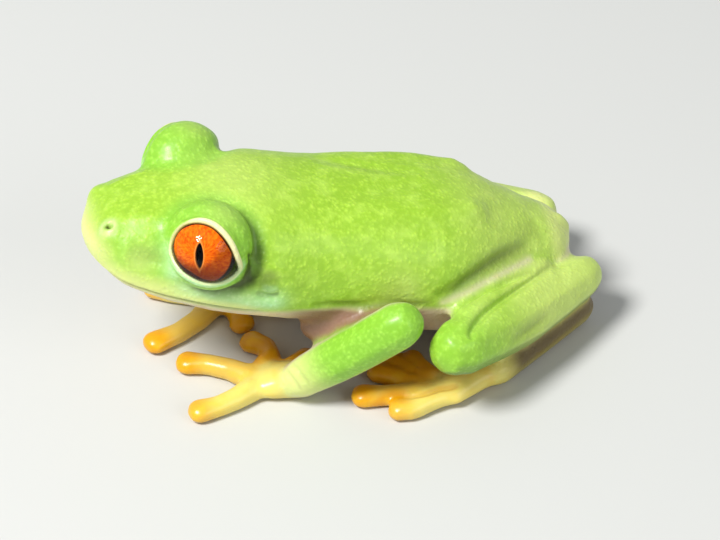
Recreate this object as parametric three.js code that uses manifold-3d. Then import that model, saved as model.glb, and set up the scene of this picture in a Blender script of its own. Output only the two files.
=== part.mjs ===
// A young red-eyed tree frog, life size, sitting with its head up. Millimetres, +Z up.
// The frog faces -X and its left side is -Y. The finished group is moved so that the middle of
// its footprint is the origin and the flats it rests on lie at z = 0.
import * as THREE from "three";
import { mergeVertices } from "three/addons/utils/BufferGeometryUtils.js";
import Module from "manifold-3d";

const wasm = await Module();
wasm.setup();

// How finely the round shapes are divided.
const TORSO_AROUND = 26;
const TORSO_RINGS = 32;
const LIMB_AROUND = 8;
const DIGIT_AROUND = 7;

const SIDES = { left: -1, right: 1 };
const FAR = 60; // larger than the whole frog
const GAP = 0.24; // width of the thin cuts between neighbouring pieces
const NECK_X = -4.2; // where the head is parted from the trunk
const MOUTH = { x: -16.5, z: 10.55, slope: -0.3 }; // the line of the mouth, seen from the side

// Head and trunk as one body: sections across X, from the snout to the vent.
// x, height of the back, height of the belly, half width, squareness, narrowing of the back
const SECTIONS = [
  [-17.0, 13.0, 10.0, 3.1, 2.3, 0.1],
  [-15.2, 13.6, 9.2, 3.8, 2.6, 0.16],
  [-13.0, 14.0, 8.15, 4.6, 2.8, 0.2],
  [-9.8, 14.4, 6.6, 5.5, 2.6, 0.14],
  [-6.2, 14.25, 5.2, 5.9, 2.4, 0.1],
  [-2.5, 13.35, 3.7, 5.8, 2.3, 0.08],
  [1.5, 12.5, 2.4, 6.1, 2.2, 0.04],
  [5.0, 11.8, 1.4, 6.2, 2.2, 0.06],
  [8.0, 10.8, 1.2, 5.4, 2.3, 0.14],
  [11.0, 8.85, 1.6, 3.8, 2.3, 0.1],
  [13.4, 7.3, 2.4, 2.7, 2.2, 0],
  [14.8, 6.7, 3.4, 2.1, 2.2, 0],
];
const SNOUT_CAP = 2.3; // length of the rounded snout
const VENT_CAP = 1.4; // length of the rounded rear end

// Each eye is a ball that looks out of a domed lid. The head leans a little to its right.
const EYE = { x: -9.75, y: 4.15, z: 12.4, ball: 2.3, forward: 0.4 };
const LID = { radius: 2.9, depth: 2.5, opening: 2.1 };
const GAZE = { left: [-0.32, -0.87, 0.36], right: [-0.32, 0.94, -0.05] };
const NOSTRIL = { x: -15.25, y: 1.8, z: 12.3, swelling: 1.15 };

// The pose: x, distance out from the middle of the body, z.
const POSE = {
  left: {
    shoulder: [-2.8, 3.9, 4.4],
    inner_elbow: [1.1, 7.75, 6.2],
    elbow: [1.3, 8.4, 7.2],
    wrist: [-4.6, 5.7, 1.6],
    palm_back: [-4.0, 5.25, 1.1],
    palm: [-6.3, 4.5, 0.8],
    hip: [11.4, 2.8, 4.6],
    inner_knee: [5.8, 8.0, 5.5],
    knee: [4.8, 9.2, 5.2],
    heel: [14.9, 2.7, 3.7],
    under_heel: [14.8, 2.8, 1.3],
    ankle: [7.9, 7.2, 0.95],
    foot_back: [6.9, 7.2, 0.9],
    foot: [4.4, 8.1, 0.75],
  },
  right: {
    shoulder: [-2.8, 3.9, 4.4],
    inner_elbow: [0.2, 7.4, 5.4],
    elbow: [0.3, 8.1, 6.0],
    wrist: [-5.4, 5.6, 1.6],
    palm_back: [-5.0, 5.5, 1.1],
    palm: [-7.1, 4.5, 0.8],
    hip: [11.0, 2.8, 4.6],
    inner_knee: [4.7, 7.4, 4.7],
    knee: [3.6, 8.6, 4.6],
    heel: [13.9, 4.2, 3.8],
    under_heel: [13.7, 4.1, 1.3],
    ankle: [6.6, 7.7, 0.95],
    foot_back: [5.7, 8.0, 0.9],
    foot: [3.8, 8.4, 0.75],
  },
};

// Each limb piece runs from one place of the pose to another.
// radii: sideways and up at equal steps along it; sag: how far its middle hangs down
const GREEN_LIMB = { color: 0x8fd62f, roughness: 0.45, metalness: 0 };
const YELLOW_LIMB = { color: 0xf2c522, roughness: 0.35, metalness: 0 };
const ARM = {
  upper_arm: { from: "shoulder", to: "inner_elbow", radii: [[1.35, 1.4], [1.3, 1.3], [1.3, 1.3]] },
  forearm: {
    from: "elbow",
    to: "wrist",
    radii: [[1.55, 1.6], [1.65, 1.62], [1.5, 1.58], [1.3, 1.3]],
    sag: 0,
  },
  hand: { from: "palm_back", to: "palm", radii: [[1.35, 1.2], [1.55, 0.95]], look: YELLOW_LIMB },
};
const LEG = {
  thigh: { from: "hip", to: "inner_knee", radii: [[1.9, 2.0], [1.75, 1.85], [1.45, 1.55]] },
  shank: { from: "knee", to: "heel", radii: [[1.9, 1.95], [2.05, 2.1], [1.5, 1.55]], sag: 0.4 },
  tarsus: {
    from: "under_heel",
    to: "ankle",
    radii: [[1.1, 1.3], [1.1, 1.15], [1.15, 1.05]],
    sag: 0.1,
    look: YELLOW_LIMB,
  },
  foot: { from: "foot_back", to: "foot", radii: [[1.2, 0.95], [1.4, 0.8]], look: YELLOW_LIMB },
};

// Fingers and toes fan out from the palm and the foot.
// heading: degrees outwards from straight ahead; reach: distance to the middle of the pad;
// bow: how far the middle bends outwards
const FINGERS = {
  left: {
    1: { heading: -150, reach: 3.5, bow: 0.1 },
    2: { heading: -86, reach: 4.3, bow: -0.9 },
    3: { heading: -34, reach: 5.8, bow: -0.35 },
    4: { heading: 17, reach: 5.2, bow: 0.3 },
  },
  right: {
    1: { heading: -152, reach: 3.5, bow: 0.1 },
    2: { heading: -97, reach: 3.0, bow: 0 },
    3: { heading: -31, reach: 6.6, bow: -0.5 },
    4: { heading: 25, reach: 5.0, bow: -0.4 },
  },
};
const TOES = {
  1: { heading: -69, reach: 3.9, bow: 0 },
  2: { heading: -55, reach: 5.0, bow: -0.1 },
  3: { heading: -40, reach: 4.8, bow: 0.1 },
  4: { heading: -11, reach: 5.4, bow: 0.1 },
  5: { heading: 12, reach: 3.4, bow: 0.5 },
};
const FOOT_TURN = { left: 0, right: 6 }; // degrees that the whole foot is turned out
const DIGIT = { start: 1.3, height: 0.65, padHeight: 0.55 };
const DIGIT_RADII = [[0.92, 0.88], [0.78, 0.76], [0.76, 0.72], [0.98, 0.66]];

const THROAT = { color: 0xe6dfc0, roughness: 0.5, metalness: 0 };
const IRIS = { color: 0xd2400f, roughness: 0.08, metalness: 0 };

// Catmull-Rom through rows of numbers, with t from 0 at the first row to 1 at the last.
function along(rows, t) {
  const place = Math.min(Math.max(t, 0), 1) * (rows.length - 1);
  const i = Math.min(Math.floor(place), rows.length - 2);
  const f = place - i;
  const row = (k) => rows[Math.max(0, Math.min(rows.length - 1, k))];
  const [a, b, c, d] = [row(i - 1), row(i), row(i + 1), row(i + 2)];
  return b.map((value, k) => {
    const slope = c[k] - a[k];
    const bend = 2 * a[k] - 5 * value + 4 * c[k] - d[k];
    const turn = 3 * value - a[k] - 3 * c[k] + d[k];
    return value + 0.5 * f * (slope + f * (bend + f * turn));
  });
}

// A closed geometry as a solid that can be joined and cut.
function solid(geometry) {
  geometry.deleteAttribute("normal");
  geometry.deleteAttribute("uv");
  const merged = mergeVertices(geometry, 1e-5);
  return new wasm.Manifold(
    new wasm.Mesh({
      numProp: 3,
      vertProperties: new Float32Array(merged.getAttribute("position").array),
      triVerts: new Uint32Array(merged.index.array),
    }),
  );
}

// A sphere whose rings are moved: place(share of the way, angle) gives each point.
function ringSolid(around, rings, place) {
  const sphere = new THREE.SphereGeometry(1, around, rings);
  const position = sphere.getAttribute("position");
  for (let ring = 0; ring <= rings; ring++) {
    const atPole = ring === 0 || ring === rings;
    for (let step = 0; step <= around; step++) {
      const angle = atPole ? 0 : ((step % around) / around) * 2 * Math.PI;
      const { x, y, z } = place(ring, angle);
      position.setXYZ(ring * (around + 1) + step, x, y, z);
    }
  }
  return solid(sphere);
}

function box(low, high) {
  const size = new THREE.Vector3().subVectors(high, low);
  const centre = new THREE.Vector3().addVectors(low, high).multiplyScalar(0.5);
  const geometry = new THREE.BoxGeometry(size.x, size.y, size.z);
  return solid(geometry.translate(centre.x, centre.y, centre.z));
}

// How far a rounded end has opened, at a distance from its tip.
function opened(distance, cap) {
  const left = Math.min(1, Math.max(0, 1 - distance / cap));
  return Math.sqrt(1 - left * left);
}

// Head and trunk together, made fatter by grow.
function torso(grow) {
  const tip = SECTIONS[0][0] - grow;
  const tail = SECTIONS.at(-1)[0] + grow;
  return ringSolid(TORSO_AROUND, TORSO_RINGS, (ring, angle) => {
    const x = tip + ((tail - tip) * (1 - Math.cos((Math.PI * ring) / TORSO_RINGS))) / 2;
    const next = SECTIONS.findIndex(([station]) => station > x);
    const i = next < 0 ? SECTIONS.length - 2 : Math.max(0, next - 1);
    const share = (x - SECTIONS[i][0]) / (SECTIONS[i + 1][0] - SECTIONS[i][0]);
    const t = (i + Math.min(1, Math.max(0, share))) / (SECTIONS.length - 1);
    const [, back, belly, halfWidth, squareness, narrowing] = along(SECTIONS, t);
    const size = opened(x - tip, SNOUT_CAP) * opened(tail - x, VENT_CAP);
    const square = (value) => Math.sign(value) * Math.abs(value) ** (2 / squareness);
    const up = square(Math.sin(angle));
    const out = -square(Math.cos(angle)) * (1 - narrowing * up);
    return {
      x,
      y: (halfWidth + grow) * size * out,
      z: (back + belly) / 2 + ((back - belly) / 2 + grow) * size * up,
    };
  });
}

// A round-ended tube through rows of x, y, z, radius sideways, radius up.
function tube(rows, around, steps) {
  const caps = 2;
  const up = new THREE.Vector3(0, 0, 1);
  return ringSolid(around, 2 * caps + steps, (ring, angle) => {
    const t = Math.min(1, Math.max(0, (ring - caps) / steps));
    const [x, y, z, wide, high] = along(rows, t);
    const ahead = new THREE.Vector3(...along(rows, t + 0.02));
    const way = ahead.sub(new THREE.Vector3(...along(rows, t - 0.02))).normalize();
    const sideways = new THREE.Vector3().crossVectors(up, way).normalize();
    const upwards = new THREE.Vector3().crossVectors(way, sideways);
    const past = Math.min(0, ring - caps) + Math.max(0, ring - caps - steps);
    const turn = (past / caps) * (Math.PI / 2);
    return new THREE.Vector3(x, y, z)
      .addScaledVector(way, Math.sin(turn) * Math.min(wide, high))
      .addScaledVector(sideways, -Math.cos(turn) * wide * Math.cos(angle))
      .addScaledVector(upwards, Math.cos(turn) * high * Math.sin(angle));
  });
}

// A limb piece on one side of the body, made fatter by grow.
function limb(label, { from, to, radii, sag = 0 }, grow) {
  const start = new THREE.Vector3(...POSE[label][from]);
  const end = new THREE.Vector3(...POSE[label][to]);
  const rows = radii.map(([wide, high], k) => {
    const t = k / (radii.length - 1);
    const { x, y, z } = new THREE.Vector3().lerpVectors(start, end, t);
    return [x, SIDES[label] * y, z - 4 * sag * t * (1 - t), wide + grow, high + grow];
  });
  return tube(rows, LIMB_AROUND, 2 * radii.length - 2);
}

// A finger or a toe: a thin tube that ends in a broad round pad.
function digit(label, [palmX, palmY], { heading, reach, bow }, grow) {
  const angle = THREE.MathUtils.degToRad(heading);
  const rows = DIGIT_RADII.map(([wide, high], k) => {
    const t = k / (DIGIT_RADII.length - 1);
    const out = DIGIT.start + (reach - DIGIT.start) * t;
    const bend = 4 * bow * t * (1 - t);
    const x = palmX - out * Math.cos(angle) + bend * Math.sin(angle);
    const y = palmY + out * Math.sin(angle) + bend * Math.cos(angle);
    const z = THREE.MathUtils.lerp(DIGIT.height, DIGIT.padHeight, t);
    return [x, SIDES[label] * y, z, wide + grow, high + grow];
  });
  return tube(rows, DIGIT_AROUND, 3);
}

// Turns a geometry made round +Z so that it looks along one eye's gaze, from that eye's middle.
function alongGaze(geometry, side) {
  const gaze = new THREE.Vector3(...GAZE[side < 0 ? "left" : "right"]).normalize();
  const turn = new THREE.Quaternion().setFromUnitVectors(new THREE.Vector3(0, 0, 1), gaze);
  return solid(geometry.applyQuaternion(turn).translate(EYE.x, side * EYE.y, EYE.z));
}

function lid(side) {
  const dome = new THREE.SphereGeometry(LID.radius, 14, 9);
  return alongGaze(dome.scale(1, 1, LID.depth / LID.radius), side);
}

function eyeball(side, grow) {
  const ball = new THREE.SphereGeometry(EYE.ball + grow, 14, 8);
  return alongGaze(ball.rotateX(Math.PI / 2).translate(0, 0, EYE.forward), side);
}

// The room for the eyeball, open to the outside through a round hole in the lid.
function socket(side) {
  const length = 2 * LID.radius;
  const bore = new THREE.CylinderGeometry(LID.opening, LID.opening, length, 14);
  const middle = LID.depth / 2 + length / 2;
  const opening = alongGaze(bore.rotateX(Math.PI / 2).translate(0, 0, middle), side);
  return eyeball(side, GAP / 2).add(opening);
}

// The low swelling round each nostril, at the corner of the snout.
function nostril(side) {
  const swelling = new THREE.SphereGeometry(NOSTRIL.swelling, 8, 6);
  return solid(swelling.translate(NOSTRIL.x, side * NOSTRIL.y, NOSTRIL.z));
}

// All that lies below the line of the mouth, lowered by drop.
function underMouth(drop) {
  const height = (x) => MOUTH.z + MOUTH.slope * (x - MOUTH.x) - drop;
  const profile = new THREE.Shape([
    new THREE.Vector2(-FAR, height(-FAR)),
    new THREE.Vector2(-FAR, -FAR),
    new THREE.Vector2(0, -FAR),
    new THREE.Vector2(0, height(0)),
  ]);
  const slab = new THREE.ExtrudeGeometry(profile, { depth: 2 * FAR, bevelEnabled: false });
  return solid(slab.rotateX(Math.PI / 2).translate(0, FAR, 0));
}

// The largest body of a solid, so that a cut leaves no crumbs.
function largest(made) {
  return made.decompose().reduce((a, b) => (b.volume() > a.volume() ? b : a));
}

const corner = (x, y, z) => new THREE.Vector3(x, y, z);
const belowFloor = box(corner(-FAR, -FAR, -FAR), corner(FAR, FAR, 0));
const beforeNeck = box(corner(-FAR, -FAR, -FAR), corner(NECK_X - GAP / 2, FAR, FAR));
const behindNeck = box(corner(NECK_X + GAP / 2, -FAR, -FAR), corner(FAR, FAR, FAR));

const frog = new THREE.Group();

// A solid as a named mesh in a group.
function addMesh(group, name, look, made) {
  const { vertProperties, triVerts } = largest(made).getMesh();
  const geometry = new THREE.BufferGeometry();
  geometry.setAttribute("position", new THREE.BufferAttribute(new Float32Array(vertProperties), 3));
  geometry.setIndex(new THREE.BufferAttribute(new Uint32Array(triVerts), 1));
  geometry.computeVertexNormals();
  const mesh = new THREE.Mesh(geometry, new THREE.MeshStandardMaterial(look));
  mesh.name = name;
  group.add(mesh);
}

// Head, lower jaw and trunk are one body, parted by thin cuts.
const withBumps = (made, side) => made.add(lid(side)).add(nostril(side));
const wholeBody = (grow) => Object.values(SIDES).reduce(withBumps, torso(grow));
const body = wholeBody(0).subtract(belowFloor);
const sockets = socket(SIDES.left).add(socket(SIDES.right));
const front = body.intersect(beforeNeck);
addMesh(frog, "head", GREEN_LIMB, front.subtract(underMouth(0)).subtract(sockets));
addMesh(frog, "lower_jaw", THROAT, front.intersect(underMouth(GAP)));
addMesh(frog, "trunk", GREEN_LIMB, body.intersect(behindNeck));

// Each limb piece is cut back from the body and from the pieces made before it, by a thin gap.
const taken = [wholeBody(GAP)];
function addLimbPiece(group, name, look, make) {
  const made = taken.reduce((left, other) => left.subtract(other), make(0).subtract(belowFloor));
  addMesh(group, name, look, made);
  taken.push(make(GAP));
}

for (const [label, side] of Object.entries(SIDES)) {
  addMesh(frog, `eye_${label}`, IRIS, eyeball(side, 0));

  const arm = new THREE.Group();
  for (const [name, piece] of Object.entries(ARM)) {
    addLimbPiece(arm, `${name}_${label}`, piece.look ?? GREEN_LIMB, (grow) => limb(label, piece, grow));
  }
  for (const [number, finger] of Object.entries(FINGERS[label])) {
    const make = (grow) => digit(label, POSE[label].palm, finger, grow);
    addLimbPiece(arm, `finger_${number}_${label}`, YELLOW_LIMB, make);
  }

  const leg = new THREE.Group();
  for (const [name, piece] of Object.entries(LEG)) {
    addLimbPiece(leg, `${name}_${label}`, piece.look ?? GREEN_LIMB, (grow) => limb(label, piece, grow));
  }
  for (const [number, toe] of Object.entries(TOES)) {
    const turned = { ...toe, heading: toe.heading + FOOT_TURN[label] };
    const make = (grow) => digit(label, POSE[label].foot, turned, grow);
    addLimbPiece(leg, `toe_${number}_${label}`, YELLOW_LIMB, make);
  }
  frog.add(arm, leg);
}

const bounds = new THREE.Box3().setFromObject(frog, true);
const middle = bounds.getCenter(new THREE.Vector3());
frog.position.set(-middle.x, -middle.y, -bounds.min.z);

export default frog;
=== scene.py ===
"""Looks of a life-size model of a young red-eyed tree frog that sits with its head raised.

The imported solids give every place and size. One skin with lids, folds, fingers and toes lies
over them, and a pair of wet eyes looks out of it. The skin is shaped in millimetres of the
frog's own body: x runs to the rear, y to its right, z up, and 0 is the middle of the trunk's
underside on the floor.
"""

import math

import bpy
import numpy as np
from mathutils import Matrix, Vector, noise
from mathutils.bvhtree import BVHTree


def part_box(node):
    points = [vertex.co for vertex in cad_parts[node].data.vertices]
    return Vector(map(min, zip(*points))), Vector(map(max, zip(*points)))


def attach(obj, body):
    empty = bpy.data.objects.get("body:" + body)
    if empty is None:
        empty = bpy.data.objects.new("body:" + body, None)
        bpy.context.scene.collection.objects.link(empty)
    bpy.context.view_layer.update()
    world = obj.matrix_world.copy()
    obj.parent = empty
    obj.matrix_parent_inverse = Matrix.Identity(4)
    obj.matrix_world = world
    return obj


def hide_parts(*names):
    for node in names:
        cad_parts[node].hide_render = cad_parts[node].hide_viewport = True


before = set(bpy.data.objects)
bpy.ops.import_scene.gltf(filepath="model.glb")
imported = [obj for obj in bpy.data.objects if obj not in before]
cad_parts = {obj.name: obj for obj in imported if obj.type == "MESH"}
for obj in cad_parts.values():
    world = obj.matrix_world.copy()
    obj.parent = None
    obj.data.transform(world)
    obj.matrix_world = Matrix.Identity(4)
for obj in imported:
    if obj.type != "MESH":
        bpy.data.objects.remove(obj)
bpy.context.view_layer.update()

MM = 0.001
EYES = ("eye_left", "eye_right")
SIDES = {"left": -1.0, "right": 1.0}
FLESH = sorted(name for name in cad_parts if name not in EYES)

# Body measures are laid out from the middle between the eyeballs, which stands here.
EYEBALLS_AT = np.array([-9.879, 0.014, 12.462])


def middle(node):
    low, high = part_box(node)
    return np.array((low + high) / 2) / MM


BODY_AT = (middle("eye_left") + middle("eye_right")) / 2 - EYEBALLS_AT


# ---------------------------------------------------------------- tools of the workshop


def only(*pieces):
    """Selects these pieces and nothing else; the first is the active one."""
    bpy.ops.object.select_all(action="DESELECT")
    for piece in pieces:
        piece.select_set(True)
    bpy.context.view_layer.objects.active = pieces[0]


def finish_with(piece, kind, **settings):
    """Adds a modifier and applies it."""
    only(piece)
    modifier = piece.modifiers.new(kind.title(), kind)
    for name, value in settings.items():
        setattr(modifier, name, value)
    bpy.ops.object.modifier_apply(modifier=modifier.name)


def on_whole(piece, tool, **settings):
    """Uses a mesh tool on all of a piece."""
    only(piece)
    bpy.ops.object.mode_set(mode="EDIT")
    bpy.ops.mesh.select_all(action="SELECT")
    tool(**settings)
    bpy.ops.object.mode_set(mode="OBJECT")


def points_of(mesh):
    values = np.empty(len(mesh.vertices) * 3, np.float32)
    mesh.vertices.foreach_get("co", values)
    return values.reshape(-1, 3).astype(float)


def put_points(mesh, points):
    mesh.vertices.foreach_set("co", points.astype(np.float32).ravel())
    mesh.update()


def normals_of(mesh):
    values = np.empty(len(mesh.vertices) * 3, np.float32)
    mesh.vertex_normals.foreach_get("vector", values)
    return values.reshape(-1, 3).astype(float)


def links_of(mesh):
    """Both ways along every edge, and how many edges meet at each point."""
    ends = np.empty(len(mesh.edges) * 2, np.int32)
    mesh.edges.foreach_get("vertices", ends)
    ends = ends.reshape(-1, 2)
    a = np.concatenate([ends[:, 0], ends[:, 1]])
    b = np.concatenate([ends[:, 1], ends[:, 0]])
    return a, b, np.maximum(np.bincount(a, minlength=len(mesh.vertices)), 1)


def soften(values, links, rounds, share=0.5):
    """Lets values, one row for each point, spread to their neighbours."""
    a, b, count = links
    flat = values.reshape(len(count), -1)
    for _ in range(rounds):
        sums = [np.bincount(a, flat[b, k], len(count)) for k in range(flat.shape[1])]
        flat = flat + share * (np.stack(sums, 1) / count[:, None] - flat)
    return flat.reshape(values.shape)


def step(low, high, values):
    t = np.clip((values - low) / (high - low), 0.0, 1.0)
    return t * t * (3 - 2 * t)


def bell(distance, width):
    return np.exp(-((distance / width) ** 2))


def strongest(*masks):
    """The greatest of several masks at each point."""
    return np.maximum.reduce(masks)


def unit(v):
    v = np.array(v, float)
    return v / np.linalg.norm(v)


def along(points, line):
    """Each point's distance from a line of places, and how far along it the nearest place is."""
    line = np.array(line, float)
    best = np.full(len(points), 1e9)
    place = np.zeros(len(points))
    for k in range(len(line) - 1):
        leg = line[k + 1] - line[k]
        t = np.clip((points - line[k]) @ leg / (leg @ leg), 0, 1)
        distance = np.linalg.norm(points - line[k] - t[:, None] * leg, axis=1)
        nearer = distance < best
        best[nearer] = distance[nearer]
        place[nearer] = (k + t[nearer]) / (len(line) - 1)
    return best, place


def folded(points):
    """The points with the left half of the body laid over the right."""
    return np.abs(points) * (0, 1, 0) + points * (1, 0, 1)


def curve_through(places, each=6):
    """A smooth line through a few places."""
    p = np.array(places, float)
    p = np.vstack([2 * p[0] - p[1], p, 2 * p[-1] - p[-2]])
    line = []
    for k in range(1, len(p) - 2):
        for t in np.arange(each) / each:
            a = 2 * p[k]
            b = p[k + 1] - p[k - 1]
            c = 2 * p[k - 1] - 5 * p[k] + 4 * p[k + 1] - p[k + 2]
            d = 3 * p[k] - 3 * p[k + 1] + p[k + 2] - p[k - 1]
            line.append(0.5 * (a + b * t + c * t**2 + d * t**3))
    return np.array(line + [p[-2]])


# Places of the limbs, left and right: x, distance out from the middle of the body, z.
ELBOW = {"left": (1.3, 8.4, 7.2), "right": (0.3, 8.1, 6.0)}
WRIST = {"left": (-4.6, 5.7, 1.6), "right": (-5.4, 5.6, 1.6)}
KNEE = {"left": (4.8, 9.2, 5.2), "right": (3.6, 8.6, 4.6)}
HEEL = {"left": (14.9, 2.7, 3.7), "right": (13.9, 4.2, 3.8)}
ANKLE = {"left": (7.9, 7.2, 0.95), "right": (6.6, 7.7, 0.95)}
PALM = {"left": (-6.3, 4.5, 0.8), "right": (-7.1, 4.5, 0.8)}
SOLE = {"left": (4.4, 8.1, 0.75), "right": (3.8, 8.4, 0.75)}

KNEE_X, KNEE_TO_HEEL = 4.8, 10.1  # of the left leg, along x

# ---------------------------------------------------------------- folds and swellings

# Each is a line of places (x, outwards, z), how wide it spreads and how high it stands, in mm.
FOLDS = {
    "behind the eye": (
        [(-7.6, 5.7, 10.4), (-7.2, 5.4, 11.5), (-6.95, 5.05, 12.2), (-6.93, 4.6, 12.7),
         (-7.1, 4.0, 13.3), (-7.6, 3.2, 13.9)],
        0.4, -0.42,
    ),
    "over the eye": ([(-7.6, 3.2, 13.9), (-8.2, 2.2, 14.2), (-9.3, 1.8, 14.4)], 0.5, -0.14),
    "over the ear": ([(-6.9, 5.6, 11.2), (-6, 5.8, 11), (-5, 5.9, 10.2), (-4.4, 6, 9.2)],
                     0.4, 0.12),
    "ear": ([(-6.6, 5.85, 10.2), (-6.45, 5.85, 10.25)], 0.5, -0.12),
    "under the ear": ([(-7.3, 5.9, 9.5), (-6.6, 5.95, 9.1), (-5.8, 5.95, 9.1)], 0.18, -0.18),
    "ear's lower edge": ([(-7.0, 5.9, 9.8), (-6.4, 5.95, 9.55), (-5.8, 5.95, 9.5)], 0.18, 0.15),
    "cheek": ([(-8.6, 5.7, 8.9), (-7, 5.9, 8.5), (-5.4, 6, 8.2)], 0.45, 0.1),
    "canthus": ([(-15.2, 1.5, 13.4), (-14.2, 1.8, 13.7), (-13.0, 2.1, 13.85), (-12.0, 2.6, 13.95)],
                0.5, 0.13),
    "hollow before the eye": ([(-14.6, 3.2, 12.2), (-13.4, 4, 12), (-12.5, 4.5, 11.9)], 0.7, -0.28),
    "groove of the back": (
        [(-1.8, 2.4, 12.9), (-0.5, 1.9, 12.8), (1.3, 1.3, 12.5), (3.1, 0.8, 12.1), (5, 0.5, 11.6)],
        0.55, -0.18,
    ),
    "ridge of the back": (
        [(-1.2, 3.6, 12.2), (2.2, 3.1, 11.8), (4.6, 2.96, 11.3), (6.6, 2.7, 10.8),
         (7.9, 2.3, 10.4)],
        0.8, 0.2,
    ),
    "hip bone": ([(7.6, 2.35, 10.5), (8.0, 2.3, 10.35)], 0.75, 0.26),
    "behind the hip bone": ([(8.9, 2.5, 9.7), (9.8, 2.3, 9.2)], 1.0, -0.1),
    "groin": (
        [(3.9, 6.2, 7.0), (5.3, 6.0, 7.2), (6.2, 5.7, 7.45), (7.3, 5.2, 7.65), (8.6, 4.4, 7.7),
         (9.6, 3.9, 7.6), (10.6, 3.3, 7.4), (11.8, 2.7, 7.1)],
        0.5, -0.34,
    ),
    "rump": ([(10.2, 3.0, 8.0), (11.4, 2.4, 7.8), (12.6, 1.9, 7.6)], 1.0, -0.1),
    "vent": ([(14.2, 0, 6.6), (14.5, 0, 6.0)], 0.5, 0.25),
    "flank": (
        [(-3.9, 5.7, 7.7), (-2.6, 5.8, 7.5), (-1, 5.95, 7.15), (0.8, 6.05, 6.85), (2.4, 6.15, 6.6),
         (4.2, 6.3, 6.5)],
        0.3, -0.2,
    ),
    "under the flank": ([(-1.7, 5.75, 6.8), (0.1, 5.95, 6.5), (2.1, 6.1, 6.3), (3.3, 6.1, 5.9)],
                        0.3, 0.14),
}  # fmt: skip

# The same for the left leg and hand; the right ones are shifted with their joints.
LEG_FOLDS = {
    "thigh by the flank": (
        [(4.8, 6.9, 6.4), (5.95, 6.6, 6.7), (7.2, 6.15, 6.8), (8.4, 5.75, 6.85), (9.9, 5.0, 6.6),
         (11.3, 4.3, 6.3)],
        0.22, -0.34,
    ),
    "thigh by the shank": (
        [(5.3, 10.1, 6.55), (5.5, 9.7, 6.7), (6.0, 9.0, 6.8), (6.85, 8.1, 6.75), (7.9, 7.25, 6.65),
         (9.2, 6.3, 6.5), (10.6, 5.25, 6.25), (11.8, 4.3, 6.0), (12.7, 3.4, 5.7)],
        0.24, -0.38,
    ),
    "shank's upper edge": (
        [(6.2, 9.6, 6.6), (7.3, 8.6, 6.6), (8.6, 7.6, 6.4), (10.0, 6.5, 6.1), (11.4, 5.4, 5.8),
         (12.8, 4.3, 5.5)],
        0.5, 0.16,
    ),
    "shank by the tarsus": (
        [(4.4, 10.6, 4.0), (6.6, 9.8, 3.2), (9.3, 8.1, 2.6), (11.4, 6.9, 2.7), (13.4, 5.4, 2.8),
         (14.9, 4.0, 2.6)],
        0.3, -0.3,
    ),
    "wrist, upper crease": (
        [(-5.0, 5.6, 3.0), (-4.8, 6.4, 3.1), (-4.5, 7.0, 2.8), (-4.2, 7.3, 2.3)], 0.12, -0.09,
    ),
    "wrist, lower crease": (
        [(-5.4, 5.5, 2.5), (-5.3, 6.2, 2.6), (-5.0, 6.8, 2.3), (-4.7, 7.0, 1.8)], 0.12, -0.07,
    ),
    "between the outer toes": ([(5.2, 8.5, 1.5), (4.7, 8.6, 1.4), (3.9, 8.5, 1.2), (2.9, 8.7, 1.3),
                                (2.0, 8.6, 1.2), (1.3, 8.3, 1.0)], 0.17, -0.24),
    "shank's muscles": ([(8.4, 9.3, 5.0), (9.8, 8.2, 4.8), (11.4, 6.9, 4.6)], 0.3, -0.12),
}  # fmt: skip


def laid(places, side):
    """A smooth line through these places of one side, laid on the skin, its y outwards."""
    line = []
    for place in curve_through(places):
        on_skin = skin_tree.find_nearest(Vector(place * (1, side, 1)))[0]
        line.append((on_skin.x, side * on_skin.y, on_skin.z))
    return line


def near_line(points, places, width, taper=False, side=-1):
    """1 on a line of places, falling off across its width and, if tapered, at its ends."""
    distance, place = along(points, laid(places, side))
    fade = np.clip(4 * place * (1 - place), 0, 1) ** 0.7 if taper else 1
    return bell(distance, width) * fade


def near_leg_line(points, places, width, taper=False):
    """The same for a line of the left leg or hand and its fellow on the right: a line by the hand
    is shifted with the wrist, one low by the foot with the sole, others from knee to heel."""
    left = [np.array(p) for p in places]
    shifts = [np.array(joint["right"]) - joint["left"] for joint in (KNEE, HEEL, WRIST, SOLE)]
    knee, heel, wrist, sole = shifts
    if left[0][0] < 0:
        right = [p + wrist for p in left]
    elif left[0][2] < 2:
        right = [p + sole for p in left]
    else:
        right = [p + knee + (heel - knee) * (p[0] - KNEE_X) / KNEE_TO_HEEL for p in left]
    on_left = near_line(folded(points), left, width, taper)
    on_right = near_line(folded(points), right, width, taper, 1)
    return np.where(points[:, 1] < 0, on_left, on_right)


# ---------------------------------------------------------------- the skin's first shape

SWELL_MM = 0.15  # the solids grow until the thin cuts between them close
WEAVE_MM = 0.15  # spacing of the skin's points
AT_PALM_MM = 0.5  # a finger or toe grows as near as this to its palm or foot
APART_MM = 1.2  # a forearm and a shank grow no nearer to each other than this
SKIN_TRIANGLES = 192000
TORSO = ("head", "lower_jaw", "trunk", "eye")
ARMS_AND_LEGS = ("upper_arm", "forearm", "thigh", "shank", "tarsus")
PALMS = ("hand", "foot")
PAD_MM = 1.2  # length of the pad that ends a finger or toe

# How far out each web reaches, as a share of the length of the toe or finger before it.
WEBS = {
    "toe_4": 0.62, "toe_3": 0.42, "toe_2": 0.36, "toe_1": 0.34, "finger_3": 0.3, "finger_2": 0.3,
}  # fmt: skip
WEB_ROOT_Z, WEB_EDGE_Z, WEB_THICK_MM = 0.5, 0.42, 0.34
GROIN_FILL = ((4.8, 6.0, 5.9), (6.6, 5.7, 6.0))  # where the thigh runs on into the flank


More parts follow.
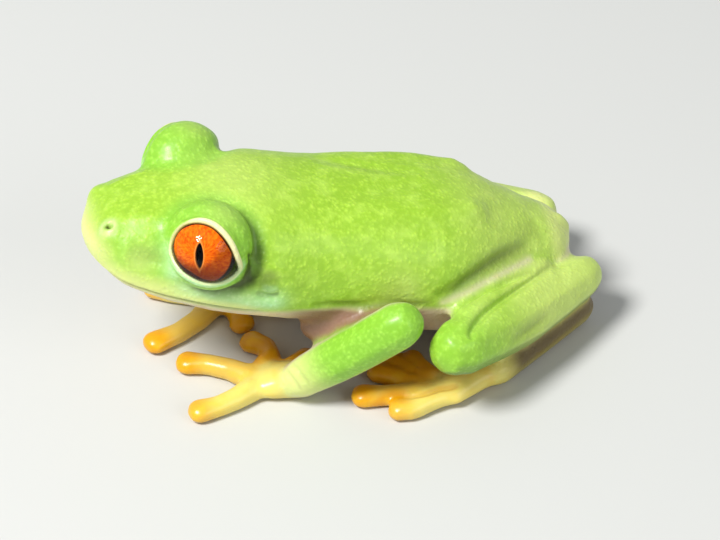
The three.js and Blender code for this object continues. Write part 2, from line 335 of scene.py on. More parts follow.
def flesh_copy(node):
    """A merged copy of a CAD solid, in millimetres of the body."""
    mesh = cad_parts[node].data.copy()
    mesh.transform(Matrix.Translation(-Vector(BODY_AT)) @ Matrix.Scale(1 / MM, 4))
    mesh.materials.clear()
    copy = bpy.data.objects.new(node + "_flesh", mesh)
    bpy.context.collection.objects.link(copy)
    on_whole(copy, bpy.ops.mesh.remove_doubles, threshold=0.001)
    return copy


def on_side(place, label):
    return np.array(place, float) * (1, SIDES[label], 1)


def tree_of(copies):
    """A search tree over solids, and which of them each of its faces belongs to."""
    places, faces, owner = [], [], []
    for number, copy in enumerate(copies):
        base = len(places)
        places += [v.co.copy() for v in copy.data.vertices]
        faces += [[base + v for v in f.vertices] for f in copy.data.polygons]
        owner += [number] * len(copy.data.polygons)
    return BVHTree.FromPolygons(places, faces), np.array(owner)


def parent_of(node):
    """The palm or foot that a finger or toe grows from, or None."""
    palm = {"finger": "hand_", "toe": "foot_"}.get(node.split("_")[0])
    return palm and palm + node.split("_")[-1]


def from_palm(name):
    """The points of a finger or toe, and how far each lies from the middle of its palm or foot."""
    palm = points_of(solids[parent_of(name)].data).mean(0)
    places = points_of(solids[name].data)
    return places, np.linalg.norm(places - palm, axis=1)


def spine(name, share):
    """The middle of a finger or toe, this share of the way from its palm to its tip."""
    places, away = from_palm(name)
    return places[np.argsort(np.abs(away / away.max() - share))[:10]].mean(0)


def web(first, second, reach):
    """The thin web that joins two neighbours up to this share of their length."""
    palm = points_of(solids[parent_of(first)].data).mean(0)
    palm[2] = WEB_ROOT_Z
    bpy.ops.object.select_all(action="DESELECT")
    bpy.ops.mesh.primitive_grid_add(x_subdivisions=6, y_subdivisions=6, size=2)
    piece = bpy.context.object
    piece.name = "web_" + first
    across, out = (points_of(piece.data)[:, :2].T + 1) / 2
    from_first, to_second = spine(first, reach), spine(second, reach)
    edge_at = from_first + across[:, None] * (to_second - from_first)
    edge_at[:, 2] = WEB_EDGE_Z
    out = out * (1 - 0.35 * 4 * across * (1 - across))  # the free edge is hollow
    put_points(piece.data, palm + out[:, None] * (edge_at - palm))
    finish_with(piece, "SOLIDIFY", thickness=WEB_THICK_MM, offset=0.0)
    return piece


def in_order(mesh):
    """Sorts a ball's faces. The tool that makes a ball leaves them in another order each time,
    which would change the last digits of all that is shaped from it."""
    places = [v.co.copy() for v in mesh.vertices]
    faces = []
    for face in mesh.polygons:
        ring = list(face.vertices)
        first = ring.index(min(ring))
        faces.append(ring[first:] + ring[:first])
    mesh.clear_geometry()
    mesh.from_pydata(places, [], sorted(faces))


def padding(name, start, end, radius):
    """A long soft swelling between two places, where one piece runs on into the next."""
    start, end = Vector(start), Vector(end)
    bpy.ops.object.select_all(action="DESELECT")
    bpy.ops.mesh.primitive_uv_sphere_add(segments=24, ring_count=16, radius=1)
    piece = bpy.context.object
    piece.name = name
    in_order(piece.data)
    turn = (end - start).to_track_quat("Z", "Y").to_matrix().to_4x4()
    longwise = (end - start).length / 2 + radius
    stretch = Matrix.Diagonal((radius, radius * 0.8, longwise, 1))
    piece.data.transform(Matrix.Translation((start + end) / 2) @ turn @ stretch)
    return piece


solids = {name: flesh_copy(name) for name in FLESH + list(EYES)}
for label in SIDES:
    for name, reach in WEBS.items():
        kind, place = name.split("_")
        neighbour = f"{kind}_{int(place) + 1}_{label}"
        solids[f"web_{name}_{label}"] = web(f"{name}_{label}", neighbour, reach)
    # the sole runs on into the outer toe, and the thigh into the flank
    sole, toe = on_side(SOLE[label], label), spine(f"toe_5_{label}", 0.75)
    sole[1] += 0.25 * SIDES[label]
    name = "web_sole_" + label
    solids[name] = padding(name, sole * 1.1 - toe * 0.1, toe, 0.9)
    name = "trunk_fill_" + label
    solids[name] = padding(name, *(on_side(place, label) for place in GROIN_FILL), 0.6)
solid_names = list(solids)
solid_tree, solid_of_face = tree_of(list(solids.values()))
# Solids that others keep clear of or grow out from.
near_trees = {
    name: tree_of([copy])[0]
    for name, copy in solids.items()
    if name.startswith((*PALMS, "forearm", "shank"))
}


def nearest(points):
    """For each point the number of the nearest solid, and how far outside it the point lies."""
    number = np.empty(len(points), int)
    outside = np.empty(len(points))
    for k, p in enumerate(points):
        place, normal, face, distance = solid_tree.find_nearest(p)
        number[k] = solid_of_face[face]
        outside[k] = math.copysign(distance, (Vector(p) - place).dot(normal))
    return number, outside


def share_of(number, *starts):
    """1 at the points whose nearest solid has one of these names, and 0 elsewhere."""
    chosen = [k for k, name in enumerate(solid_names) if name.startswith(starts)]
    return np.isin(number, chosen).astype(float)


def swell(name, copy):
    """Grows a solid, a finger or toe only where it leaves its palm or foot. Where a forearm and
    a shank almost touch, neither grows, so that the skin stays open between elbow and knee."""
    growing = copy.vertex_groups.new(name="growing")
    palm = near_trees.get(parent_of(name))
    kind, _, label = name.rpartition("_")
    beside = near_trees.get({"forearm": "shank_", "shank": "forearm_"}.get(kind, "") + label)
    for v in copy.data.vertices:
        grows = palm is None or palm.find_nearest(v.co)[3] < AT_PALM_MM
        if grows and (beside is None or beside.find_nearest(v.co)[3] > APART_MM):
            growing.add([v.index], 1.0, "REPLACE")
    finish_with(copy, "DISPLACE", strength=SWELL_MM, mid_level=0.0, vertex_group="growing")


def without_crumbs(piece):
    """Keeps the largest closed surface of a piece and drops specks that a remesh left."""
    on_whole(piece, bpy.ops.mesh.separate, type="LOOSE")
    parts = sorted(bpy.context.selected_objects, key=lambda part: len(part.data.polygons))
    for crumb in parts[:-1]:
        bpy.data.meshes.remove(crumb.data)
    return parts[-1]


def near_joints(points, *joints):
    """1 at these joints of both sides, falling off with the width given for each."""
    near = np.zeros(len(points))
    for label in SIDES:
        for joint, width in joints:
            distance = np.linalg.norm(points - on_side(joint[label], label), axis=1)
            near = np.maximum(near, bell(distance, width))
    return near


def settle(skin):
    """Smooths the facets away, most on the trunk and least on the fingers, and lays the skin
    back on the solids."""
    mesh = skin.data
    points = points_of(mesh)
    links = links_of(mesh)
    number, _ = nearest(points)
    torso = soften(share_of(number, *TORSO), links, 20)
    limbs = soften(share_of(number, *TORSO, *ARMS_AND_LEGS, *PALMS), links, 8)
    joints = near_joints(points, (WRIST, 1.7), (ANKLE, 1.5), (SOLE, 1.1))
    ends = near_joints(points, (ELBOW, 2.2), (KNEE, 2.2), (HEEL, 2.0)) * limbs
    points = soften(points, links, 8)
    for weight, rounds in ((limbs, 22), (torso, 60), (joints, 70), (ends, 70)):
        for _ in range(rounds):
            points += weight[:, None] * (soften(points, links, 1) - points)
    for _ in range(2):
        put_points(mesh, points)
        _, outside = nearest(points)
        pull = (soften(outside, links, 40) + 0.01) * (1 - 0.7 * joints)
        points -= pull[:, None] * normals_of(mesh)
    put_points(mesh, points)


def thin_out(skin, kept, most):
    """Leaves this many triangles, and takes none away where the skin has its finest detail."""
    plain = skin.vertex_groups.new(name="plain")
    plain.add([int(k) for k in np.nonzero(kept < 0.5)[0]], 1.0, "REPLACE")
    now = sum(len(face.vertices) - 2 for face in skin.data.polygons)
    finish_with(skin, "DECIMATE", ratio=most / now, vertex_group="plain", vertex_group_factor=1000)
    skin.vertex_groups.clear()


def far_end(name):
    """The middle of the pad that ends a finger or toe."""
    places, away = from_palm(name)
    return places[away > away.max() - PAD_MM].mean(0)


pad_middles = {name: far_end(name) for name in solids if name.startswith(("finger", "toe"))}

for name, copy in solids.items():
    swell(name, copy)
only(*solids.values())
bpy.ops.object.join()
skin = bpy.context.object
finish_with(skin, "REMESH", mode="VOXEL", voxel_size=WEAVE_MM)
skin = without_crumbs(skin)
skin.name = skin.data.name = "skin"
skin.vertex_groups.clear()
settle(skin)
skin_tree, _ = tree_of([skin])

# ---------------------------------------------------------------- where the details go

# Which way each eye and its pupil look: the head leans a little to its right.
GAZE = {-1.0: unit((-0.32, -0.87, 0.36)), 1.0: unit((-0.32, 0.94, -0.05))}
PUPIL_GAZE = {-1.0: unit((-0.47, -0.806, 0.36)), 1.0: unit((-0.47, 0.88, -0.05))}
EYE_AT = np.array([-9.75, 4.15, 12.4])  # middle of the right eye's dome, mirrored for the left
BALL_FORWARD = 0.4  # how far the eyeball stands out of it along its gaze
BALL = 2.3  # radius of the cornea
LIDS_REACH, DOME_REACH, GROOVE_REACH = 3.6, 3.7, 4.1  # from the middle of the dome

# The rim of the lids seen from the middle of the eye: degrees round from the front over the
# top, and degrees away from the gaze. The eye's corner is the widest place, low at the rear.
LID_RIM = [
    (0, 61), (30, 62), (60, 56), (95, 48), (130, 41), (160, 41),
    (185, 47), (203, 60), (213, 71), (226, 63), (243, 54), (270, 44), (300, 40), (330, 47),
]  # fmt: skip
# Distances from the rim, less than 0 inside it, and how high the lid stands over the ball there.
LID_DROP = [-1.4, -0.6, -0.3, -0.12, -0.04, 0.0, 0.05, 0.12, 0.22, 0.32, 0.5]
LID_HEIGHT = [-1.0, -0.6, -0.4, -0.22, -0.06, 0.06, 0.15, 0.2, 0.21, 0.17, 0.2]

NOSTRILS = {-1.0: (-15.5, -1.9, 13.3), 1.0: (-15.4, 2.7, 12.5)}
MOUTH_X, MOUTH_Z, MOUTH_SLOPE = -16.5, 10.55, -0.3
MOUTH_END = -6.6
EAR_AT = (-6.5, 5.9, 10.2)


def eye_frame(side):
    """The eye's middle, and its gaze, up and front."""
    gaze = GAZE[side]
    up = unit(np.array([0, 0, 1]) - gaze[2] * gaze)
    front = side * np.cross((0, 0, 1), gaze)
    return EYE_AT * (1, side, 1), gaze, up, unit(front)


def near_eye(points, side, reach):
    """The numbers of the points within this reach of an eye."""
    return np.nonzero(np.linalg.norm(points - EYE_AT * (1, side, 1), axis=1) < reach)[0]


def lid_distance(points, side):
    """How far points lie outside the rim of the lids, in mm on the eyeball."""
    middle_at, gaze, up, front = eye_frame(side)
    away = points - middle_at
    away /= np.linalg.norm(away, axis=1)[:, None]
    table = [(a - 360, b) for a, b in LID_RIM[-3:]] + LID_RIM
    table += [(a + 360, b) for a, b in LID_RIM[:3]]
    rim = curve_through(table, 12)
    turn = np.degrees(np.arctan2(away @ up, away @ front)) % 360
    lean = np.degrees(np.arccos(np.clip(away @ gaze, -1, 1)))
    rim_turn, rim_lean = np.radians(rim).T
    sideways = np.cos(rim_turn)[:, None] * front + np.sin(rim_turn)[:, None] * up
    line = np.cos(rim_lean)[:, None] * gaze + np.sin(rim_lean)[:, None] * sideways
    distance, _ = along(away * 2.5, line * 2.5)
    return np.where(lean < np.interp(turn, *rim.T), -distance, distance)


def from_nostrils(points):
    """Each point's distance from the nearer nostril, which lies on the skin's nearest point."""
    away = np.full(len(points), 1e9)
    for place in NOSTRILS.values():
        middle_at = points[np.argmin(np.linalg.norm(points - place, axis=1))]
        away = np.minimum(away, np.linalg.norm(points - middle_at, axis=1))
    return away


def mouth_height(points):
    """Height over the line of the mouth."""
    return points[:, 2] - MOUTH_Z - MOUTH_SLOPE * (points[:, 0] - MOUTH_X)


def finer(skin, wanted):
    """Cuts into four the faces whose middles are wanted."""
    mesh = skin.data
    middles = np.empty(len(mesh.polygons) * 3, np.float32)
    mesh.polygons.foreach_get("center", middles)
    only(skin)
    bpy.context.tool_settings.mesh_select_mode = (False, False, True)
    bpy.ops.object.mode_set(mode="EDIT")
    bpy.ops.mesh.select_all(action="DESELECT")
    bpy.ops.object.mode_set(mode="OBJECT")
    mesh.polygons.foreach_set("select", wanted(middles.reshape(-1, 3).astype(float)))
    bpy.ops.object.mode_set(mode="EDIT")
    bpy.ops.mesh.subdivide(number_cuts=1)
    bpy.ops.object.mode_set(mode="OBJECT")


def by_the_lids(low, high):
    def wanted(middles):
        chosen = np.zeros(len(middles), bool)
        for side in SIDES.values():
            near = near_eye(middles, side, LIDS_REACH)
            t = lid_distance(middles[near], side)
            chosen[near] |= (t > low) & (t < high)
        return chosen

    return wanted


def by_the_nostrils(middles):
    return from_nostrils(middles) < 0.62


def by_the_leg_folds(middles):
    near = near_leg_line(middles, LEG_FOLDS["thigh by the flank"][0], 0.5)
    return np.maximum(near, near_leg_line(middles, LEG_FOLDS["thigh by the shank"][0], 0.5)) > 0.4


def by_the_mouth(middles):
    return (np.abs(mouth_height(middles)) < 0.25) & (middles[:, 0] < MOUTH_END + 0.2)


finer(skin, by_the_mouth)
finer(skin, by_the_leg_folds)
for _ in range(2):
    finer(skin, by_the_nostrils)
finer(skin, by_the_lids(-0.3, 0.85))
finer(skin, by_the_lids(-0.12, 0.4))

mesh = skin.data
links = links_of(mesh)
points = points_of(mesh)
settled = points[:, 0] < MOUTH_END + 1
points += settled[:, None] * (soften(points, links, 2) - points)
put_points(mesh, points)
number, _ = nearest(points)


def region(*starts, rounds=6):
    return soften(share_of(number, *starts), links, rounds)


on_torso = region(*TORSO)


# ---------------------------------------------------------------- lids


def shape_lids(points):
    """Moves the points round each eye onto the lids, and back to the skin farther out."""
    for side in SIDES.values():
        middle_at, gaze, _, _ = eye_frame(side)
        away = points - middle_at
        radius = np.linalg.norm(away, axis=1)
        lean = np.arccos(np.clip((away @ gaze) / radius, -1, 1))
        near = np.nonzero((radius < DOME_REACH) & (lean < 2.0) & (on_torso > 0.9))[0]
        t = lid_distance(points[near], side)
        lean = lean[near]
        ball = BALL_FORWARD * np.cos(lean)
        ball = ball + np.sqrt(BALL**2 - (BALL_FORWARD * np.sin(lean)) ** 2)
        wanted = ball + np.interp(t, LID_DROP, LID_HEIGHT)
        keep = step(0.3, 1.05, t)
        now = radius[near]
        points[near] += away[near] * ((1 - keep) * (wanted - now) / now)[:, None]


shape_lids(points)
put_points(mesh, points)


def under_the_lids(points, width):
    """1 along the groove that runs round below the lower lids."""
    groove = np.zeros(len(points))
    for side in SIDES.values():
        middle_at, _, up, front = eye_frame(side)
        near = near_eye(points, side, GROOVE_REACH)
        away = points[near] - middle_at
        line_at = np.interp(away @ front, (-2.3, -1.4, -0.5), (0.95, 1.2, 1.34)) - 0.1 * (side + 1)
        low = step(-0.2, -1.1, away @ up + 0.2 * (away @ front)) * step(1.3, 0.0, away @ front)
        low *= step(3.9, 3.3, np.linalg.norm(away, axis=1))
        from_line = lid_distance(points[near], side) - line_at
        groove[near] = np.maximum(groove[near], bell(from_line, width) * low)
    return groove


# ---------------------------------------------------------------- folding the skin

half = folded(points)
lift = np.zeros(len(points))
for places, width, height in FOLDS.values():
    lift += height * near_line(half, places, width, len(places) > 2) * on_torso
for places, width, height in LEG_FOLDS.values():
    lift += height * near_leg_line(points, places, width, True)

lift -= 0.2 * under_the_lids(points, 0.17) * on_torso
over_mouth = mouth_height(points)
mouth = step(MOUTH_END, MOUTH_END - 1.5, points[:, 0]) * on_torso
lift -= 0.13 * bell(over_mouth, 0.1) * mouth
lift += 0.06 * (bell(over_mouth - 0.28, 0.16) + bell(over_mouth + 0.28, 0.16)) * mouth

from_nostril = from_nostrils(points)
nostril = bell(from_nostril, 0.17)
nostril_ring = bell(from_nostril - 0.36, 0.17)
lift += 0.04 * nostril_ring - 0.4 * nostril

# The skin is never quite even.
waves = [noise.noise(Vector(p) * 0.8) + 0.5 * noise.noise(Vector(p) * 1.9) for p in points]
lift += np.array(waves) * 0.02 * on_torso

points += lift[:, None] * normals_of(mesh)
put_points(mesh, points)

kept = (from_nostril < 0.6) | ((np.abs(over_mouth) < 0.2) & (mouth > 0))
for side in SIDES.values():
    near = near_eye(points, side, LIDS_REACH)
    t = lid_distance(points[near], side)
    kept[near] |= (t > -0.25) & (t < 0.5)
for name in ("thigh by the flank", "thigh by the shank"):
    kept |= near_leg_line(points, LEG_FOLDS[name][0], 0.3, True) > 0.3
thin_out(skin, kept, SKIN_TRIANGLES)

# ---------------------------------------------------------------- where the colours lie

mesh = skin.data
links = links_of(mesh)
points = points_of(mesh)
normals = normals_of(mesh)
number, _ = nearest(points)
half = folded(points)
x, y, z = points.T
on_torso = region(*TORSO)
on_ends = region("hand", "foot", "finger", "toe", "web")
over_mouth = mouth_height(points)
mouth = step(MOUTH_END, MOUTH_END - 1.5, x) * on_torso
from_nostril = from_nostrils(points)
nostril = bell(from_nostril, 0.19)
nostril_ring = bell(from_nostril - 0.45, 0.25)
side_of = np.where(y > 0, 1.0, -1.0)

# The green ends along this line of heights on the side of the body, from the lip to the vent.
GREEN_ENDS = [(-17.5, 10.7), (-16.5, 10.55), (-6.6, 7.75), (-3, 7.3), (-0.5, 6.95), (2.2, 6.5),
              (4, 6.3), (6.4, 6.3), (8, 5.9), (11, 5.6), (15, 5.6)]  # fmt: skip
edge = np.interp(x, *np.array(GREEN_ENDS).T)
under = step(edge + 0.1, edge - 0.5, z) * on_torso
# Pinkish brown on the upper arms and on the underside between arms and legs, painted darker as the
# shade under the body.
blush = np.clip(region("upper_arm") + under * step(5.5, 2.0, x) * step(-6.5, -3.5, x), 0, 1)

# Arms and legs are green outside and on top, and pale inside and below.
limb = region(*ARMS_AND_LEGS)
faces_out = normals[:, 1] * side_of * 0.75 + normals[:, 2] * 0.65
faces_out -= 0.36 * region("forearm")
inside = step(0.05, -0.45, faces_out) * limb
cream = np.clip(under + inside * (1 - on_torso), 0, 1)
GROIN_STRIP = [(4.6, 6.3, 6.5), (6.1, 6.05, 6.85), (8.0, 5.35, 7.05), (9.6, 4.5, 6.9),
               (11.2, 3.6, 6.7)]  # fmt: skip
strip = near_leg_line(points, GROIN_STRIP, 0.27)
cream = strongest(cream, 0.7 * strip)

# The arm turns from green to yellow-green and cream between its middle and the palm.
down_the_arm = np.zeros(len(points))
for label in SIDES:
    _, place = along(points, [on_side(p[label], label) for p in (ELBOW, WRIST, PALM)])
    mine = (y * SIDES[label] > 0) * region("forearm", "hand", "finger")
    down_the_arm = np.maximum(down_the_arm, place * mine)
past_wrist = step(0.28, 0.5, down_the_arm)
tarsus = region("tarsus", rounds=10)
on_sole = np.zeros(len(points))
for label in SIDES:
    away = np.linalg.norm(points - on_side(ANKLE[label], label) + (0.6, 0, 0), axis=1)
    on_sole = np.maximum(on_sole, step(2.6, 0.9, away))
warm = region("foot", "finger", "toe", "web", rounds=14) + tarsus
warm = np.clip(warm + region("hand", rounds=20) * step(0.45, 0.68, down_the_arm), 0, 1)
outer = region("finger_4", "toe_5", "hand", "foot", "web_sole", rounds=10)
outer += 0.55 * region("toe_4", "finger_3", rounds=10)
tip = np.zeros(len(points))
for pad in pad_middles.values():
    tip = np.maximum(tip, step(1.9, 0.6, np.linalg.norm(points - pad, axis=1)))
deep = strongest(
    np.clip(1 - 0.85 * outer + 0.7 * tip, 0, 1) * on_ends,
    region("web_toe", "web_finger", rounds=3),
    # deeper gold along the crease between the outer toes: painted shade
    near_leg_line(points, LEG_FOLDS["between the outer toes"][0], 0.25, True),
)
# The tarsus is tan, painted darker as the shade it lies in below the shank, and a little lighter
# where it faces down.
tan = tarsus * (1 - on_sole) * (1 - 0.35 * step(0.4, -0.6, normals[:, 2]))

mint = strongest(
    0.95 * near_line(half, [(-11.6, 5.2, 9.9), (-9, 5.8, 8.9), (-6.3, 6, 8.4)], 0.9),
    0.8 * near_line(half, [(-12.4, 4.3, 12.6), (-12.1, 4.8, 11.2)], 0.6),
    # a pale mint line along the eardrum's lower edge: a painted highlight on its rim
    0.8 * near_line(half, FOLDS["ear's lower edge"][0], 0.28, True),
)
mint = strongest(mint * (1 - under), 0.5 * nostril_ring) * on_torso

# Yellower on snout, lips, rump, lower legs, heel and wrists, and in a few soft patches.
on_heel = bell(np.linalg.norm(points - on_side(HEEL["right"], "right") - (0, 0, 1.3), axis=1), 1.6)
PATCHES = (
    ((-7.4, 0.4, 14.3), 3.0, 0.3), ((-8.8, 4.4, 15.0), 1.4, 0.25), ((-14.1, 4.0, 11.8), 1.3, 0.45),
    ((1.9, 6.1, 7.6), 1.8, 0.35), ((6.6, 7.7, 6.9), 2.0, 0.28),
)  # fmt: skip
yellow = strongest(
    step(-14.8, -16.9, x) * on_torso * step(13.6, 11.8, z),
    step(12.0, 13.6, x) * on_torso * 0.75,
    0.3 * step(4.5, 9.5, x) * on_torso,
    step(2.1, 0.1, over_mouth) * mouth * (0.3 + 0.65 * step(-10, -13, x)),
    bell(over_mouth - 0.3, 0.4) * mouth * 0.85,
    nostril_ring * 0.5,
    0.5 * step(6, 12, x) * region("shank", "thigh"),
    on_heel * (normals[:, 1] < 0.3) * limb,
    past_wrist,
    *(share * bell(np.linalg.norm(half - at, axis=1), width) for at, width, share in PATCHES),
)

# A purer green round the eyes, on the sides of the snout, the forearms and the knees.
eye_away = np.linalg.norm(half - EYE_AT, axis=1)
leaf = step(3.9, 2.9, eye_away) + near_line(half, FOLDS["hollow before the eye"][0], 1.3)
leaf = leaf * on_torso + region("forearm")
leaf += bell(np.linalg.norm(half - KNEE["left"], axis=1), 3.0) * limb

# How wide and how dark the painted shade in each fold is.
FOLD_SHADES = {
    "behind the eye": (0.5, 0.75), "under the ear": (0.14, 0.9), "flank": (0.24, 0.75),
    "groin": (0.6, 0.7), "rump": (0.8, 0.2), "hollow before the eye": (0.5, 0.28),
}  # fmt: skip
LEG_SHADES = {
    "thigh by the flank": (0.13, 0.9), "thigh by the shank": (0.16, 0.65),
    "shank by the tarsus": (0.4, 0.9), "shank's muscles": (0.4, 0.3),
    "between the outer toes": (0.12, 0.5), "wrist, upper crease": (0.1, 0.3),
    "wrist, lower crease": (0.1, 0.3),
}  # fmt: skip
behind_eye = near_line(half, FOLDS["behind the eye"][0][:3], 0.5)
# Painted shade: in the creases behind the eyes, under the lids and along the folds below, in the
# nostrils, along the mouth and on the shanks' undersides. The eardrum takes the same colour as a
# duller, darker disc.
shade = strongest(
    np.minimum(1.1 * behind_eye, 0.88) * on_torso,
    np.minimum(1.5 * under_the_lids(points, 0.19), 0.9) * on_torso,
    0.4 * step(1.05, 0.45, np.linalg.norm(half - EAR_AT, axis=1)),
    # the shank's downward-facing side, painted darker as the shade under it
    0.6 * step(-0.05, -0.55, normals[:, 2]) * region("shank", rounds=3),
    nostril,
    0.3 * bell(over_mouth, 0.07) * mouth,
)
for name, (width, depth) in FOLD_SHADES.items():
    shade = strongest(shade, depth * near_line(half, FOLDS[name][0], width, True) * on_torso)
for name, (width, depth) in LEG_SHADES.items():
    shade = strongest(shade, depth * near_leg_line(points, LEG_FOLDS[name][0], width, True))

rim = np.zeros(len(points))
wet = np.zeros(len(points))
for side in SIDES.values():
    middle_at, _, up, front = eye_frame(side)
    near = near_eye(points, side, DOME_REACH)
    away = points[near] - middle_at
    rearwards = unit(-front + 0.6 * up)
    broad = 0.05 + 0.22 * step(-0.4, 1.3, away @ rearwards)
    t = lid_distance(points[near], side)
    line = step(-0.05, 0.0, t) * step(broad + 0.05, broad - 0.04, t)
    thin = 0.45 * step(-0.3, -1.3, away @ up) + 0.25 * step(0.4, 1.5, away @ front)
    rim[near] = np.maximum(rim[near], line * (1 - thin))
    # Inside the rim the lids turn in against the eyeball; this margin is painted dark red-brown,
    # partly its own dark edge and partly painted shade in the gap.
    wet[near] = np.maximum(wet[near], step(0.0, -0.06, t))
    below = step(0.0, -1.0, away @ up) * step(0.65, 0.35, t)
    mint[near] = np.maximum(mint[near], below)

MASKS = {
    "leaf": leaf, "mint": mint, "yellow": yellow, "cream": cream, "blush": blush, "warm": warm,
    "deep": deep, "tan": tan, "shade": shade, "rim": rim, "wet": wet, "ends": on_ends,
}  # fmt: skip
for name, values in MASKS.items():
    mask = mesh.attributes.new(name, "FLOAT", "POINT")
    mask.data.foreach_set("value", np.clip(values, 0, 1).astype(np.float32))


# ---------------------------------------------------------------- paints and materials


def paint(code):
    """A colour as paint charts write it, turned to linear light."""
    parts = [int(code[k : k + 2], 16) / 255 for k in (1, 3, 5)]
    return [v / 12.92 if v <= 0.04045 else ((v + 0.055) / 1.055) ** 2.4 for v in parts] + [1]


def node(tree, kind, inputs=None, out=0, **settings):
    """Adds a node with its settings and gives one of its sockets; an input takes a value or the
    socket that feeds it."""
    made = tree.nodes.new("ShaderNode" + kind)
    for name, value in settings.items():
        setattr(made, name, value)
    for name, value in (inputs or {}).items():
        if isinstance(value, bpy.types.NodeSocket):
            tree.links.new(value, made.inputs[name])
        else:
            made.inputs[name].default_value = value
    return made.outputs[out] if made.outputs else made


def new_material(name):
    material = bpy.data.materials.new(name)
    material.use_nodes = True
    material.node_tree.nodes.clear()
    return material, material.node_tree


FACTOR, UNDER, OVER, MIXED = 0, 6, 7, 2  # sockets of a colour mix, by their numbers

# The _TOP colours are painted light on the granules' tops, the _VALLEY colours painted shade in
# their hollows.
GREEN_VALLEY, GREEN_TOP, GREEN_DEEP, GREEN_LIGHT = "#98C430", "#BCE44C", "#98C234", "#C8EC62"
LEAF_VALLEY, LEAF_TOP, MINT_VALLEY, MINT_TOP = "#88C232", "#A8E04E", "#B2E69A", "#D2FABE"
YELLOW_GREEN, CREAM, CREAM_PINK, BLUSH_IN_SHADE = "#DDE68C", "#DACFAC", "#CBAA8A", "#93705A"
PALE_YELLOW, GOLD, GOLD_LIGHT = "#ECE078", "#E6A40E", "#F4CA2C"
TAN_IN_SHADE, SHADE, RIM, LID_MARGIN_IN_SHADE = "#66552C", "#383C14", "#ECE8AE", "#4A1806"


def frog_skin():
    """Moist skin of a tree frog: a soft satin of fine granules, smooth and glossy on the
    fingers and toes."""
    material, tree = new_material("moist_frog_skin")
    place = node(tree, "TexCoord", out="Object")
    masks = {name: node(tree, "Attribute", out="Fac", attribute_name=name) for name in MASKS}

    # granules about 0.24 mm across, broken up by a grain of half a millimetre; their tops take the
    # lighter colours and their hollows the darker ones, as painted light and shade over the bump
    cells = node(tree, "TexVoronoi", {"Vector": place, "Scale": 4200, "Smoothness": 0.7},
                 out="Distance", feature="SMOOTH_F1")
    tops = node(tree, "MapRange", {"Value": cells, "From Min": 0.72, "From Max": 0.1})
    grain = node(tree, "TexNoise", {"Vector": place, "Scale": 2300, "Detail": 3})
    uneven = node(tree, "MapRange", {"Value": grain, "From Min": 0.36, "From Max": 0.64})
    bumpy = node(tree, "Math", {0: tops, 1: uneven}, operation="MULTIPLY")
    # mottling of 1 to 2 mm, and larger clouds
    mottle = node(tree, "TexNoise", {"Vector": place, "Scale": 900, "Detail": 3})
    fine = node(tree, "MapRange", {"Value": mottle, "From Min": 0.5, "From Max": 0.68,
                                   "To Max": 0.35})
    clouds = node(tree, "TexNoise", {"Vector": place, "Scale": 220, "Detail": 2})
    broad = node(tree, "MapRange", {"Value": clouds, "From Min": 0.4, "From Max": 0.62,
                                    "To Max": 0.3})

    # Each starts from its first colour, and the next are laid over it where their masks are.
    blends = {
        "green": (GREEN_VALLEY, (bumpy, GREEN_TOP), (broad, GREEN_DEEP), (fine, GREEN_LIGHT)),
        "leafy": (LEAF_VALLEY, (bumpy, LEAF_TOP)),
        "minty": (MINT_VALLEY, (bumpy, MINT_TOP)),
        "creamy": (CREAM, (fine, CREAM_PINK)),
        "golden": (PALE_YELLOW, (masks["deep"], GOLD), (fine, GOLD_LIGHT)),
        "whole": (
            "green", (masks["leaf"], "leafy"), (masks["mint"], "minty"),
            (masks["yellow"], YELLOW_GREEN), (masks["cream"], "creamy"), (masks["blush"], BLUSH_IN_SHADE),
            (masks["warm"], "golden"), (masks["tan"], TAN_IN_SHADE), (masks["shade"], SHADE),
            (masks["rim"], RIM), (masks["wet"], LID_MARGIN_IN_SHADE),
        ),
    }  # fmt: skip
    mixed = {}
    for name, (first, *layers) in blends.items():
        colour = mixed[first] if first in mixed else paint(first)
        for factor, over in layers:
            over = mixed[over] if over in mixed else paint(over)
            inputs = {FACTOR: factor, UNDER: colour, OVER: over}
            colour = node(tree, "Mix", inputs, out=MIXED, data_type="RGBA")
        mixed[name] = colour

    rough = node(tree, "MapRange", {"Value": masks["ends"], "To Min": 0.46, "To Max": 0.3})
    strength = node(tree, "MapRange", {"Value": masks["ends"], "To Min": 0.6, "To Max": 0.12})
    bump = node(tree, "Bump", {"Strength": strength, "Distance": 0.00006, "Height": bumpy})
    shader = node(
        tree, "BsdfPrincipled",
        {"Base Color": mixed["whole"], "Roughness": rough, "IOR": 1.4, "Subsurface Weight": 0.25,
         "Subsurface Radius": (1.0, 0.8, 0.35), "Subsurface Scale": 0.0004,
         "Coat Weight": 0.25, "Coat Roughness": 0.22, "Normal": bump},
    )  # fmt: skip
    node(tree, "OutputMaterial", {"Surface": shader})
    return material


IRIS_BRIGHT, IRIS_DEEP, IRIS_SHADED_LOW, IRIS_EDGE = "#FC8410", "#DA4C04", "#8A3006", "#F8A850"
IRIS_BORDER, PUPIL_BLACK = "#0C0302", "#020202"


